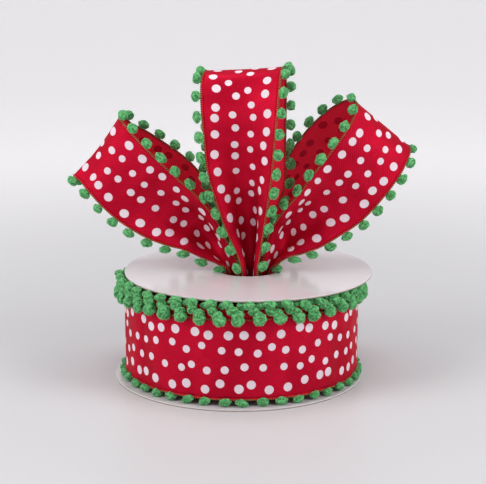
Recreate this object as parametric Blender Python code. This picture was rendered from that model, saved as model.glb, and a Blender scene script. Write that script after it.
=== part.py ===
"""Pompom edged ribbon wound on a card spool, with three loops of it standing out of the hub.

Metres, +Z up. The origin is on the surface that the spool stands on, under the middle of
the whole object. -Y is the front. Lengths below are named in millimetres and turned into metres by MM.
"""
import math

import bmesh
import bpy
import numpy as np

MM = 0.001

# Ribbon
RIBBON_WIDTH = 38.1
SHEET = 1.0
ALONG = 34
ACROSS = 10
SECTION_STEPS = 120
PATH_STEPS = 1500

# Pompoms along the ribbon's edges
POMPOM_PITCH = 9.5
POMPOM_HALF_LENGTH = 2.5
POMPOM_RADIUS = 2.3
CORD_RADIUS = 0.5
EDGE_GAP = 0.4
LAST_POMPOM_HEIGHT = 56.0
FIRST_POMPOMS = {
    # how far along each of a loop's two edges its first pompom is, from the end in the hub
    "centre": (37.2, 38.2),
    "left": (47.0, 36.8),
    "right": (32.8, 37.3),
}

# Spool: two card discs, each a little off the roll's axis, on a card tube
CARD = 1.0
SPOOL_HEIGHT = 50.0
FLANGE_RADIUS = 60.0
FLANGE_HOLE = 15.2
TOP_CENTRE = (2.7, 3.2)
BOTTOM_CENTRE = (-1.8, -3.1)
ROLL_CENTRE = (-0.7, -1.8)
CORE_BORE = 22.0
CORE_RADIUS = 23.5
TOUCH = 0.3

# Roll: the outer turns stand lower than the ones inside them
ROLL_BASE = 3.7
ROLL_TURNS = [
    # outer radius, top
    (56.4, 41.8),
    (55.3, 43.1),
    (54.2, 44.3),
    (52.6, 45.3),
]
ROLL_SEGMENTS = 72
CARD_SEGMENTS = 64
CORE_SEGMENTS = 32

# Rows of pompoms on the roll. The shift is how far round the roll a row's first pompom is.
ROLL_POMPOMS = 41
ROLL_ROWS = [
    # name, shift, cord radius, cord height, pompom radius, pompom height, half depth, half height
    ("pompoms_roll_top_inner", 0.0, 53.7, 45.3, 54.8, 47.0, 2.1, 1.6),
    ("pompoms_roll_top_middle", 3.0, 55.2, 44.4, 57.0, 45.7, 2.2, 2.1),
    ("pompoms_roll_top_outer", 6.0, 56.2, 42.8, 59.2, 41.8, 2.3, 2.3),
    ("pompoms_roll_bottom", 7.8, 56.2, 2.8, 57.6, 2.75, 2.1, 1.35),
]

# Each row is a section across the ribbon: the middle of the line that joins its two edges, with x
# and y counted from the middle of the hole in the top disc; the direction of that line; how far
# the section bows and gathers, in degrees; and how much of the width shows in it, the rest being
# crushed in the hub. The rows run up the near half, over the fold and down the far half.
COLUMNS = ("x", "y", "z", "across_x", "across_y", "across_z", "bow", "gather", "keep")
LOOPS = {
    "centre": [
        (0.8, -13.4, 26, 1.00, 0.00, 0.00, 0, 110, 0.80),
        (0.8, -13.4, 51, 1.00, 0.00, 0.00, 0, 110, 0.84),
        (0.1, -13.6, 62, 1.00, -0.06, 0.00, 0, 99, 0.94),
        (-1.7, -15.0, 75, 0.98, -0.14, 0.06, 0, 79, 1.00),
        (-3.1, -17.8, 89, 0.98, -0.19, 0.06, 10, 59, 1.00),
        (-4.1, -20.0, 102, 0.98, -0.20, 0.03, 35, 37, 1.00),
        (-4.3, -21.0, 119, 0.98, -0.20, 0.00, 50, 18, 1.00),
        (-4.1, -18.5, 136, 0.98, -0.19, 0.03, 38, 4, 1.00),
        (-3.4, -13.0, 145, 0.98, -0.19, 0.06, 22, 0, 1.00),
        (-2.1, -5.0, 147.5, 0.98, -0.19, 0.07, 8, 0, 1.00),
        (-0.9, 3.5, 145.8, 0.98, -0.19, 0.06, 0, 0, 1.00),
        (-0.3, 9.5, 138, 0.98, -0.19, 0.03, -6, 0, 1.00),
        (-0.2, 11.6, 125, 0.98, -0.19, 0.00, -12, 0, 1.00),
        (-0.3, 11.4, 109, 0.98, -0.18, 0.00, -16, 0, 1.00),
        (-0.3, 9.6, 90, 0.99, -0.12, 0.00, -20, -12, 1.00),
        (-0.2, 6.8, 70, 1.00, -0.05, 0.00, -15, -50, 0.74),
        (0.1, 3.8, 51, 1.00, 0.00, 0.00, 0, -60, 0.42),
        (0.1, 3.8, 26, 1.00, 0.00, 0.00, 0, -60, 0.42),
    ],
    "left": [
        (-7.1, -2.0, 26, 0.76, 0.65, 0.00, 0, 98, 0.46),
        (-7.1, -2.0, 51, 0.76, 0.65, 0.00, 0, 98, 0.46),
        (-11.5, -2.8, 56.8, 0.70, 0.30, 0.55, 0, 92, 0.60),
        (-18.1, -3.8, 63, 0.48, -0.05, 0.88, 0, 85, 0.85),
        (-25.3, -5.4, 70, 0.44, -0.18, 0.88, 10, 66, 0.97),
        (-34.7, -6.4, 76.6, 0.48, -0.21, 0.85, 25, 38, 1.00),
        (-44.1, -6.8, 82.9, 0.53, -0.24, 0.81, 35, 14, 1.00),
        (-53.8, -6.8, 90.8, 0.57, -0.23, 0.78, 28, 0, 1.00),
        (-62.5, -6.0, 99.6, 0.58, -0.24, 0.78, 16, 0, 1.00),
        (-68.8, -3.0, 106.3, 0.58, -0.25, 0.78, 6, 0, 1.00),
        (-71.7, 3.0, 109.3, 0.58, -0.25, 0.77, 0, 0, 1.00),
        (-69.0, 9.0, 107.0, 0.57, -0.25, 0.78, 0, 0, 1.00),
        (-61.0, 13.6, 102.2, 0.56, -0.24, 0.79, -8, 0, 1.00),
        (-50.5, 17.2, 94.8, 0.56, -0.24, 0.79, -20, 0, 1.00),
        (-39.5, 20.2, 86.2, 0.56, -0.20, 0.80, -30, -15, 1.00),
        (-27.5, 21.0, 75.5, 0.60, -0.10, 0.78, -20, -50, 0.95),
        (-14.0, 16.6, 63.0, 0.80, 0.15, 0.55, 0, -66, 0.72),
        (-6.2, 9.8, 53, 0.85, 0.53, 0.00, -20, -30, 0.36),
        (-6.2, 9.8, 26, 0.85, 0.53, 0.00, -20, -30, 0.36),
    ],
    "right": [
        (8.5, -3.0, 26, 0.70, -0.71, 0.00, 0, 100, 0.44),
        (8.5, -3.0, 51, 0.70, -0.71, 0.00, 0, 100, 0.44),
        (11.3, -4.1, 56.6, 0.55, -0.45, -0.65, 0, 95, 0.60),
        (15.5, -5.8, 63, 0.36, -0.05, -0.92, 0, 88, 0.82),
        (21.0, -7.2, 67.9, 0.44, 0.15, -0.89, 5, 72, 0.94),
        (27.7, -8.2, 73.2, 0.55, 0.24, -0.80, 15, 55, 1.00),
        (34.5, -8.4, 78.9, 0.61, 0.30, -0.73, 30, 36, 1.00),
        (42.3, -8.4, 86.3, 0.63, 0.32, -0.70, 35, 10, 1.00),
        (49.1, -8.4, 94.3, 0.66, 0.33, -0.67, 20, 0, 1.00),
        (56.0, -7.8, 103.2, 0.69, 0.33, -0.65, 10, 0, 1.00),
        (62.0, -5.0, 112.4, 0.70, 0.33, -0.63, 4, 0, 1.00),
        (64.9, 1.5, 119.4, 0.72, 0.34, -0.61, 0, 0, 1.00),
        (62.1, 8.0, 120.6, 0.71, 0.34, -0.62, 0, 0, 1.00),
        (54.8, 13.3, 116.8, 0.66, 0.33, -0.66, -6, 0, 1.00),
        (46.0, 18.0, 108.8, 0.63, 0.33, -0.70, -16, 0, 1.00),
        (37.7, 21.3, 98.6, 0.62, 0.32, -0.71, -28, -10, 1.00),
        (29.0, 23.2, 85.5, 0.64, 0.22, -0.73, -25, -40, 1.00),
        (17.0, 20.0, 67.0, 0.80, -0.04, -0.60, 0, -72, 0.80),
        (6.9, 8.8, 53, 0.79, -0.62, 0.00, -20, -30, 0.35),
        (6.9, 8.8, 26, 0.79, -0.62, 0.00, -20, -30, 0.35),
    ],
}


def clear_scene():
    for old in list(bpy.data.objects):
        bpy.data.objects.remove(old, do_unlink=True)


def make_material(name, colour, roughness, metallic=0.0):
    material = bpy.data.materials.new(name)
    material.use_nodes = True
    shader = material.node_tree.nodes["Principled BSDF"]
    shader.inputs["Base Color"].default_value = (*colour, 1.0)
    shader.inputs["Roughness"].default_value = roughness
    shader.inputs["Metallic"].default_value = metallic
    return material


def add_solid(name, points, faces, material, smooth=True):
    """One closed body from points in millimetres, with its faces turned outwards."""
    mesh = bpy.data.meshes.new(name)
    mesh.from_pydata([tuple(point) for point in np.asarray(points, float) * MM], [], faces)
    work = bmesh.new()
    work.from_mesh(mesh)
    bmesh.ops.recalc_face_normals(work, faces=work.faces)
    work.to_mesh(mesh)
    work.free()
    mesh.materials.append(material)
    if smooth:
        mesh.shade_smooth()
        mesh.set_sharp_from_angle(angle=math.radians(40))
    solid = bpy.data.objects.new(name, mesh)
    bpy.context.scene.collection.objects.link(solid)
    return solid


def loft_rings(rings, closed):
    """Faces that join equal rings of points; the ends are capped unless the rings come round."""
    count = len(rings)
    size = len(rings[0])
    faces = []
    for i in range(count if closed else count - 1):
        for j in range(size):
            here = i * size
            there = (i + 1) % count * size
            turn = (j + 1) % size
            faces.append((here + j, here + turn, there + turn, there + j))
    if not closed:
        faces.append(tuple(range(size)))
        faces.append(tuple(range((count - 1) * size, count * size)))
    return faces


def turned_solid(name, profile, centre, segments, material):
    """A profile of radius and height, turned round an upright axis."""
    rings = []
    for i in range(segments):
        angle = math.tau * i / segments
        rings.append([
            (centre[0] + radius * math.cos(angle), centre[1] + radius * math.sin(angle), height)
            for radius, height in profile
        ])
    return add_solid(name, np.concatenate(rings), loft_rings(rings, True), material)


def box_profile(inner, outer, bottom, top):
    return [(inner, bottom), (outer, bottom), (outer, top), (inner, top)]


def roll_profile():
    """The wound ribbon's cross section, with its outer turns stepping down."""
    profile = [(CORE_RADIUS + TOUCH, ROLL_BASE), (ROLL_TURNS[0][0], ROLL_BASE)]
    for turn, (radius, top) in enumerate(ROLL_TURNS):
        profile.append((radius, top))
        if turn + 1 < len(ROLL_TURNS):
            profile.append((ROLL_TURNS[turn + 1][0], top))
    profile.append((CORE_RADIUS + TOUCH, ROLL_TURNS[-1][1]))
    return profile


def read_rows(table, count):
    """The table's columns, read evenly along a smooth curve through its rows."""
    rows = np.array(table, float)
    steps = np.sqrt(np.linalg.norm(np.diff(rows[:, :3], axis=0), axis=1))
    knots = np.concatenate([[0.0], np.cumsum(steps)])
    before = np.diff(rows, axis=0)[:-1] / steps[:-1, None]
    after = np.diff(rows, axis=0)[1:] / steps[1:, None]
    slopes = np.empty_like(rows)
    slopes[1:-1] = (before * steps[1:, None] + after * steps[:-1, None]) / (steps[:-1] + steps[1:])[:, None]
    slopes[0] = (rows[1] - rows[0]) / steps[0]
    slopes[-1] = (rows[-1] - rows[-2]) / steps[-1]

    def at(place):
        i = np.clip(np.searchsorted(knots, place, side="right") - 1, 0, len(steps) - 1)
        gap = steps[i][:, None]
        u = ((place - knots[i]) / steps[i])[:, None]
        return (
            (2 * u**3 - 3 * u**2 + 1) * rows[i]
            + (u**3 - 2 * u**2 + u) * gap * slopes[i]
            + (3 * u**2 - 2 * u**3) * rows[i + 1]
            + (u**3 - u**2) * gap * slopes[i + 1]
        )

    places = np.linspace(0.0, knots[-1], PATH_STEPS)
    lengths = np.linalg.norm(np.diff(at(places)[:, :3], axis=0), axis=1)
    travelled = np.concatenate([[0.0], np.cumsum(lengths)])
    even = np.linspace(0.0, travelled[-1], count)
    read = at(np.interp(even, travelled, places))
    return {name: read[:, i] for i, name in enumerate(COLUMNS)}


def section_curve(bow, gather, width, count):
    """Points across the ribbon, as distances along the line of its edges and behind it.

    A bow bends the section as one arc. A gather folds it into a trough whose lips stay level.
    """
    u = np.linspace(-0.5, 0.5, SECTION_STEPS + 1)
    middle = (u[1:] + u[:-1]) / 2
    slope = -bow * middle - gather * np.sin(math.tau * middle)
    side = np.concatenate([[0.0], np.cumsum(np.cos(slope))]) * width / SECTION_STEPS
    depth = np.concatenate([[0.0], np.cumsum(np.sin(slope))]) * width / SECTION_STEPS
    side -= side[-1] / 2
    picks = np.linspace(-0.5, 0.5, count)
    slopes = -bow * picks - gather * np.sin(math.tau * picks)
    return np.interp(picks, u, side), np.interp(picks, u, depth), slopes


def unit(vectors):
    return vectors / np.linalg.norm(vectors, axis=-1, keepdims=True)


def ribbon_sections(table, along, across):
    """Points of the ribbon's middle surface, its outward normals and its sideways directions."""
    rows = read_rows(table, along + 1)
    middle = np.stack([rows["x"] + TOP_CENTRE[0], rows["y"] + TOP_CENTRE[1], rows["z"]], axis=1)
    ahead = unit(np.gradient(middle, axis=0))
    sideways = np.stack([rows["across_x"], rows["across_y"], rows["across_z"]], axis=1)
    sideways = unit(sideways - (sideways * ahead).sum(1)[:, None] * ahead)
    outward = np.cross(sideways, ahead)
    points = []
    normals = []
    tangents = []
    for i in range(along + 1):
        side, depth, slopes = section_curve(
            math.radians(rows["bow"][i]),
            math.radians(rows["gather"][i]),
            RIBBON_WIDTH * rows["keep"][i],
            across + 1,
        )
        points.append(middle[i] + side[:, None] * sideways[i] - depth[:, None] * outward[i])
        cosine = np.cos(slopes)[:, None]
        sine = np.sin(slopes)[:, None]
        normals.append(cosine * outward[i] + sine * sideways[i])
        tangents.append(cosine * sideways[i] - sine * outward[i])
    return np.array(points), np.array(normals), np.array(tangents)


def ribbon_sheet(name, points, normals, material):
    """A closed sheet with half its thickness on each side of the middle surface."""
    rings = []
    for row, normal in zip(points, normals):
        front = row + normal * SHEET / 2
        back = row - normal * SHEET / 2
        rings.append(np.concatenate([front, back[::-1]]))
    size = len(rings[0])
    faces = loft_rings(rings, False)[:-2]
    for end in (0, len(rings) - 1):
        base = end * size
        for j in range(size // 2 - 1):
            faces.append((base + j, base + j + 1, base + size - 2 - j, base + size - 1 - j))
    return add_solid(name, np.concatenate(rings), faces, material)


def pompom_rings(places, scale, cord_at, pompom_at):
    """Rings of cord, pompom and cord again for each place, where scale is places per millimetre."""
    rings = []
    for place in places:
        rings.append(cord_at(place - POMPOM_HALF_LENGTH * scale))
        rings.append(pompom_at(place))
        rings.append(cord_at(place + POMPOM_HALF_LENGTH * scale))
    return rings


def four_points(centre, out, up, out_radius, up_radius):
    return [
        centre + out * out_radius,
        centre + up * up_radius,
        centre - out * out_radius,
        centre - up * up_radius,
    ]


def loop_pompoms(name, points, normals, outs, first, material):
    """Pompoms on a cord that follows one edge of a loop, from the hub round to the hub."""
    steps = np.linalg.norm(np.diff(points, axis=0), axis=1)
    travelled = np.concatenate([[0.0], np.cumsum(steps)])
    last = travelled[points[:, 2] > LAST_POMPOM_HEIGHT][-1] - POMPOM_HALF_LENGTH

    def frame(place):
        point = np.array([np.interp(place, travelled, points[:, axis]) for axis in range(3)])
        out = unit(np.array([np.interp(place, travelled, outs[:, axis]) for axis in range(3)]))
        up = np.array([np.interp(place, travelled, normals[:, axis]) for axis in range(3)])
        return point, out, unit(up - up @ out * out)

    def cord_at(place):
        point, out, up = frame(place)
        return four_points(point + out * (EDGE_GAP + CORD_RADIUS), out, up, CORD_RADIUS, CORD_RADIUS)

    def pompom_at(place):
        point, out, up = frame(place)
        return four_points(point + out * (EDGE_GAP + POMPOM_RADIUS), out, up, POMPOM_RADIUS, POMPOM_RADIUS)

    places = np.arange(first, last, POMPOM_PITCH)
    rings = pompom_rings(places, 1.0, cord_at, pompom_at)
    return add_solid(name, np.concatenate(rings), loft_rings(rings, False), material, smooth=False)


def roll_pompoms(name, shift, cord_radius, cord_height, radius, height, half_depth, half_height, material):
    """A closed ring of pompoms on a cord that follows an edge of the roll."""
    up = np.array([0.0, 0.0, 1.0])

    def ring_at(angle, distance, level, depth, rise):
        out = np.array([math.cos(angle), math.sin(angle), 0.0])
        centre = np.array([*ROLL_CENTRE, level]) + out * distance
        return four_points(centre, out, up, depth, rise)

    def cord_at(angle):
        return ring_at(angle, cord_radius, cord_height, CORD_RADIUS, CORD_RADIUS)

    def pompom_at(angle):
        return ring_at(angle, radius, height, half_depth, half_height)

    places = [math.tau * i / ROLL_POMPOMS + shift / radius for i in range(ROLL_POMPOMS)]
    rings = pompom_rings(places, 1.0 / radius, cord_at, pompom_at)
    return add_solid(name, np.concatenate(rings), loft_rings(rings, True), material, smooth=False)


def build_spool(card, core):
    turned_solid(
        "spool_bottom_flange", box_profile(FLANGE_HOLE, FLANGE_RADIUS, 0.0, CARD),
        BOTTOM_CENTRE, CARD_SEGMENTS, card,
    )
    turned_solid(
        "spool_top_flange", box_profile(FLANGE_HOLE, FLANGE_RADIUS, SPOOL_HEIGHT - CARD, SPOOL_HEIGHT),
        TOP_CENTRE, CARD_SEGMENTS, card,
    )
    turned_solid(
        "spool_core", box_profile(CORE_BORE, CORE_RADIUS, CARD + TOUCH, SPOOL_HEIGHT - CARD - TOUCH),
        ROLL_CENTRE, CORE_SEGMENTS, core,
    )


def build_roll(satin, green):
    turned_solid("ribbon_roll", roll_profile(), ROLL_CENTRE, ROLL_SEGMENTS, satin)
    for row in ROLL_ROWS:
        roll_pompoms(*row, green)


def build_loops(satin, green):
    for name, table in LOOPS.items():
        points, normals, tangents = ribbon_sections(table, ALONG, ACROSS)
        ribbon_sheet("ribbon_loop_" + name, points, normals, satin)
        for edge, column, sign, first in zip("ab", (0, -1), (-1, 1), FIRST_POMPOMS[name]):
            loop_pompoms(
                "pompoms_loop_" + name + "_" + edge,
                points[:, column], normals[:, column], sign * tangents[:, column], first, green,
            )


def main():
    clear_scene()
    satin = make_material("red satin", (0.55, 0.012, 0.035), 0.42)
    green = make_material("green chenille", (0.06, 0.36, 0.11), 0.95)
    card = make_material("white card", (0.80, 0.77, 0.78), 0.35)
    core = make_material("card tube", (0.55, 0.45, 0.34), 0.85)
    build_spool(card, core)
    build_roll(satin, green)
    build_loops(satin, green)


main()
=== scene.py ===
"""Looks of the pompom edged ribbon on its card spool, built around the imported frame.

Metres, +Z up. The object's lengths are named in millimetres and turned into metres by MM where a mesh
is made. The studio's are in metres throughout.
"""

import math

import bmesh
import bpy
import numpy as np
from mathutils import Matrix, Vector, noise


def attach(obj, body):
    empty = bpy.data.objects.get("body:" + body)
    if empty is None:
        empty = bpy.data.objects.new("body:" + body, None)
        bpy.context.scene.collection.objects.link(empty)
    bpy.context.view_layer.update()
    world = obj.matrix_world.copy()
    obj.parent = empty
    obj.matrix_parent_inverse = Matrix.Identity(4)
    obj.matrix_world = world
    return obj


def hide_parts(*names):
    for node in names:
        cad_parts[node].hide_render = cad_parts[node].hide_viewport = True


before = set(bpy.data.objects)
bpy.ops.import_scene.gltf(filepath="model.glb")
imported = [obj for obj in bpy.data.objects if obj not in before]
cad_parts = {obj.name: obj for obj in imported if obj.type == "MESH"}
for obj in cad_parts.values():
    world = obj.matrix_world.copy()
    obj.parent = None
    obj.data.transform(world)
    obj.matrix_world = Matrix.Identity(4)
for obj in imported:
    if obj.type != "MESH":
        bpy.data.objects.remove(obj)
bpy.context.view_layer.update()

MM = 0.001
UP = np.array([0.0, 0.0, 1.0])

# Ribbon: as wide as the solids, and thin as real satin
RIBBON_WIDTH = 38.1
RIBBON_SHEET = 0.34
LOOP_STEPS = 230
INNER_COLUMNS = 22
SECTION_STEPS = 240
PATH_STEPS = 1500
SMOOTH_ANGLE = 40.0

# Its woven edge: where the mesh's columns are, in from the edge, and the relief's bead and groove
EDGE_STEPS = (0.0, 0.12, 0.35, 0.65, 0.9, 1.05, 1.15, 1.25, 1.4, 1.8, 2.5)
BEAD_HEIGHT = 0.10
BEAD_INWARD = 0.55
BEAD_SPREAD = 0.35
GROOVE_DEPTH = 0.14
GROOVE_INWARD = 1.15
GROOVE_SPREAD = 0.14

# Spool: sizes and places of the solids
CARD = 1.0
SPOOL_HEIGHT = 50.0
FLANGE_RADIUS = 60.0
FLANGE_HOLE = 15.2
TOP_CENTRE = (2.7, 3.2)
BOTTOM_CENTRE = (-1.8, -3.1)
ROLL_CENTRE = (-0.7, -1.8)
CORE_BORE = 22.0
CORE_RADIUS = 23.5
TOUCH = 0.3
CARD_ROUNDING = 0.12
CARD_COATING = 0.5
DISC_SEGMENTS = 256
TUBE_SEGMENTS = 96
TUBE_SEAM_PITCH = 30.0
TURNED_SMOOTH_ANGLE = 30.0

# Roll: its loose turns are drawn one by one. TURNS_RISE is how far the inner ones stand above the last
ROLL_BASE = 3.7
ROLL_RADIUS = 56.9
TURN_PITCH = 0.45
TURNS_RISE = 5.4
RISE_TURNS = 1.5
LOOSE_TURNS = 8
TURN_STEPS = 200
ROLL_END_ANGLE = 100.0
# Ripples of the turns: how many to a turn, how high and where they start
ROLL_RIPPLES = ((5, 0.14, 0.0), (11, 0.09, 1.3), (23, 0.05, 0.0))

# Plain ring for the turns inside: how far its top lies lower, and how the cloth is mapped on it
RING_DROP = 3.0
RING_SEGMENTS = 180
RING_CLOTH_STEP = 2.0
RING_CLOTH_MIDDLE = 22.0

# Pompoms: half sizes are along the edge, out from it and through it
POMPOM_PITCH = 9.5
POMPOM_OFFSET = 2.1
POMPOM_SIZE = (2.75, 2.15, 2.25)
POMPOM_UNEVEN = (0.92, 1.08)
POMPOM_LEAN = 0.22
LOOP_POMPOMS = {
    # how far along each edge the first is, from the end in the hub, and how many there are
    "centre": ((27.7, 22), (28.7, 22)),
    "left": ((28.0, 18), (27.3, 20)),
    "right": ((23.3, 21), (27.8, 20)),
}
LOOP_SEED_STEP = 10
ROLL_POMPOMS = 41
ROLL_SEED = 41
ROLL_ROW_SEED = 50
ROLL_SHIFT_JITTER = 0.35
ROLL_LEVEL_JITTER = 0.2
FLOOR_GAP = 0.05

# Pile of a pompom of radius 1, with painted light on its tips and painted shade down between them. Its
# layers are lobes, tufts and fibres: how fine each is, how its noise is shifted, how high it stands and how
# much brighter it is painted at its top
POMPOM_SHAPES = 9
POMPOM_DETAIL = 4
PILE_LAYERS = ((1.2, 1.0, 0.20, 0.3), (3.0, 1.7, 0.14, 0.8), (8.0, 2.3, 0.055, 0.3))
PILE_MIDDLE = 0.5
POMPOM_FIBRES = 400
FIBRE_SCATTER = 0.35
FIBRE_HALF_WIDTH = 0.022
FIBRE_FOOT = 0.96
FIBRE_START = 0.97
FIBRE_LENGTH = (0.08, 0.23)
# Painted light and shade of each fibre: darker at its two feet, lighter at its tip
FIBRE_PILE = (0.55, 0.55, 0.95)

# Thread that winds over the ribbon's edge between the pompoms
STITCH_PITCH = 1.05
STITCH_RADIUS = 0.42
STITCH_INWARD = 0.26
THREAD_RADIUS = 0.15
STITCH_STEPS = 6

# Printed dots, one to a cell
DOT_MARGIN = 2.4
DOT_COLUMNS = 4
DOT_PITCH = 8.0
DOT_JITTER = (1.8, 1.95)
DOT_RADIUS = (1.68, 1.84)
DOT_EDGE_EXTRA = 0.32
DOT_BLUR = 0.1
DOT_SEED = 7.0

# Weave: rib pitch of each side, the ribs' slant, and the crossing threads' share of the pitch and height
FACE_TWILL = 1.08
BACK_TWILL = 1.0
TWILL_SLANT = (0.77, 0.64)
CROSS_THREADS = (0.62, 0.35)
EDGE_RIB_PITCH = 0.9
LINE_PITCH = 1.3
UV_UNIT = 100.0

# Noise: scale, detail and roughness. Stretches are along and across the ribbon
FACE_MOTTLE = (0.14, 3.0)
BACK_MOTTLE = (0.2, 3.0)
THREAD_NOISE = (1.0, 2.0)
THREAD_STRETCH = (0.25, 3.0)
# Noise of the cloth's slack: it bends the satin's normals and also paints its shade bands
SLACK_AND_SHADE_NOISE = (0.055, 1.0)
SLACK_AND_SHADE_STRETCH = 0.35
PILE_NOISE = (3200.0, 3.0, 0.65)
PILE_PATCHES = (160.0, 2.0)
THREAD_PATCHES = (520.0, 1.0)
THREAD_FIBRES = (3000.0, 2.0)
CARD_MOTTLE = (35.0, 3.0)
CARD_GRAIN = (900.0, 2.0)
KRAFT_FIBRES = (700.0, 4.0, 0.7)
PAPER_MOTTLE = (3.0, 2.0)

# Bumps: strength, and distance in metres
SLACK_BUMP = (1.0, 0.004)
FACE_BUMP = (0.4, 0.00005)
BACK_BUMP = (0.4, 0.00006)
PILE_BUMP = (0.35, 0.00012)
THREAD_BUMP = (0.4, 0.0001)
CARD_BUMP = (0.05, 0.00005)
KRAFT_BUMP = (0.3, 0.0002)

# Ramps: where a value starts and ends to count, and what is read there if not 0 and 1
EDGE_RIB_RAMP = (-0.6, 0.9)
WOVEN_EDGE_RAMP = (1.12, 0.98)
LINE_RAMP = (0.20, 0.06)
LINE_BEAT_RAMP = (-0.7, 0.2, 0.35, 1.0)
SATIN_LUSTRE_RAMP = (0.0, 1.0, 0.4, 0.0)
SATIN_ROUGHNESS_RAMP = (0.0, 1.0, 0.50, 0.62)
PILE_RAMP = (0.05, 0.95)
CARD_ROUGHNESS_RAMP = (0.2, 0.8, 0.12, 0.22)
FAR_PAPER_RAMP = (0.1, 0.75)

# Pairs of colours, for the low and the high end of what blends them
SATIN_REDS = ((0.535, 0.0045, 0.026), (0.62, 0.007, 0.036))
SATIN_EDGE_REDS = ((0.38, 0.003, 0.014), (0.68, 0.016, 0.027))
DOT_WHITES = ((0.79, 0.655, 0.725), (0.85, 0.73, 0.79))
BACK_REDS = ((0.90, 0.020, 0.068), (0.97, 0.028, 0.082))
BACK_EDGE_REDS = ((0.30, 0.002, 0.011), (0.58, 0.012, 0.022))
CHENILLE_SHADED_AND_LIT_GREENS = ((0.018, 0.110, 0.032), (0.155, 0.525, 0.195))
THREAD_GREENS = ((0.028, 0.155, 0.036), (0.085, 0.36, 0.095))
CARD_WHITES = ((0.66, 0.61, 0.64), (0.72, 0.68, 0.705))
KRAFT_BROWNS = ((0.22, 0.16, 0.11), (0.42, 0.33, 0.24))
# Paper: one paper in two tones, darker near as painted shade and paler far as painted light
NEAR_PAPER = ((0.625, 0.62, 0.63), (0.64, 0.635, 0.645))
FAR_PAPER = ((0.895, 0.88, 0.89), (0.905, 0.89, 0.90))

# Layers over another colour: a ramp, and the colour at its end
SATIN_THREADS = ((0.35, 0.75), (0.66, 0.010, 0.042))
SATIN_FURROWS = ((0.2, -1.3, 0.0, 0.5), (0.29, 0.001, 0.012))
# Painted shade: broad darker bands along the satin, standing in for its uneven sheen
SATIN_PAINTED_SHADE_BANDS = ((0.38, 0.60, 0.34, 0.0), (0.30, 0.001, 0.012))
BACK_FURROWS = ((-0.3, -1.5, 0.0, 0.6), (0.46, 0.002, 0.022))
CHENILLE_TIPS = ((0.45, 0.75, 0.0, 0.5), (0.205, 0.600, 0.240))
CHENILLE_PATCHES = ((0.35, 0.75, 0.0, 0.3), (0.070, 0.330, 0.095))
THREAD_OLIVE = ((0.56, 0.64), (0.24, 0.30, 0.10))
TUBE_SEAM = ((0.02, 0.0), (0.12, 0.09, 0.06))
STITCHED_LINE = (0.16, 0.001, 0.008)
BACK_DOTS = (0.38, 0.001, 0.018)
BACK_DOTS_SHARE = 0.8

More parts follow.
